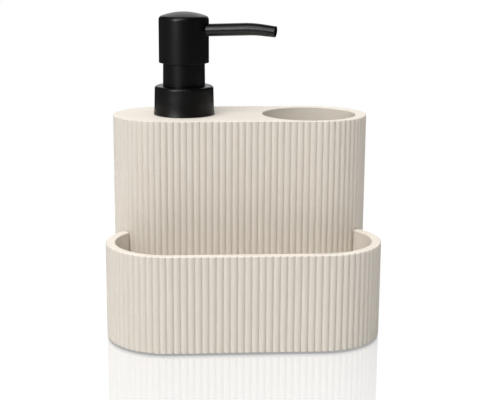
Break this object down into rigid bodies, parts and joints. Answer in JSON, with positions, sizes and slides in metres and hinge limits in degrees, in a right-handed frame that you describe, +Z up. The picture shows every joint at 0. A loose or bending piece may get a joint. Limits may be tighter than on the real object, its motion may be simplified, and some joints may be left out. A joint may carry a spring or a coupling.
{
  "type": "soap dispenser",
  "caption": "Fluted stone-resin counter-top set: a lotion pump over a soap reservoir, a round brush well beside it and a stadium-shaped sponge tray bonded to the front.",
  "frame": {"origin": "on the surface it stands on, under the middle of the footprint", "axes": "+Z up, -Y towards the front where the sponge tray is, +X to the right with the brush well"},
  "size_m": [0.18, 0.1256, 0.2089],
  "materials": {
    "stone_resin": "matt cast stone resin, warm off-white, smooth flat faces with soft edges",
    "black_plastic": "black satin polypropylene",
    "natural_plastic": "natural milky polyethylene and polypropylene",
    "steel": "stainless steel wire and ball",
    "rubber": "soft dark rubber"
  },
  "bodies": {
    "holder": {"body": "stone_resin", "tray": "stone_resin", "base_plate": "stone_resin", "neck_insert": "black_plastic", "foot_rear_left": "rubber", "foot_rear_right": "rubber", "foot_middle_left": "rubber", "foot_middle_right": "rubber", "foot_front_left": "rubber", "foot_front_right": "rubber"},
    "pump": {"pump_housing": "natural_plastic", "gasket": "rubber", "guide_bush": "natural_plastic", "dip_tube": "natural_plastic", "ball_cage": "natural_plastic", "spring": "steel"},
    "closure": {"closure": "black_plastic", "collar": "black_plastic", "guide_sleeve": "black_plastic"},
    "piston": {"piston": "natural_plastic"},
    "head": {"stem": "natural_plastic", "plunger": "natural_plastic", "head_insert": "black_plastic", "pump_head": "black_plastic", "spout": "black_plastic"},
    "ball": {"check_ball": "steel"}
  },
  "joints": [
    {"name": "pump_lift", "type": "slide", "parent": "holder", "child": "pump", "axis": [0, 0, 1], "range_m": [0, 0.15]},
    {"name": "closure_turn", "type": "hinge", "parent": "pump", "child": "closure", "pos_m": [-0.038, 0.02685, 0.1403], "axis": [0, 0, 1], "range_deg": [0, 450]},
    {"name": "head_press", "type": "slide", "parent": "pump", "child": "piston", "axis": [0, 0, -1], "range_m": [0, 0.012], "stiffness_N_per_m": 1000, "springref_m": -0.005, "deforming": ["spring"]},
    {"name": "head_swivel", "type": "hinge", "parent": "piston", "child": "head", "pos_m": [-0.038, 0.02685, 0.1403], "axis": [0, 0, 1], "continuous": true},
    {"name": "ball_lift", "type": "slide", "parent": "pump", "child": "ball", "axis": [0, 0, 1], "range_m": [0, 0.0015]}
  ]
}
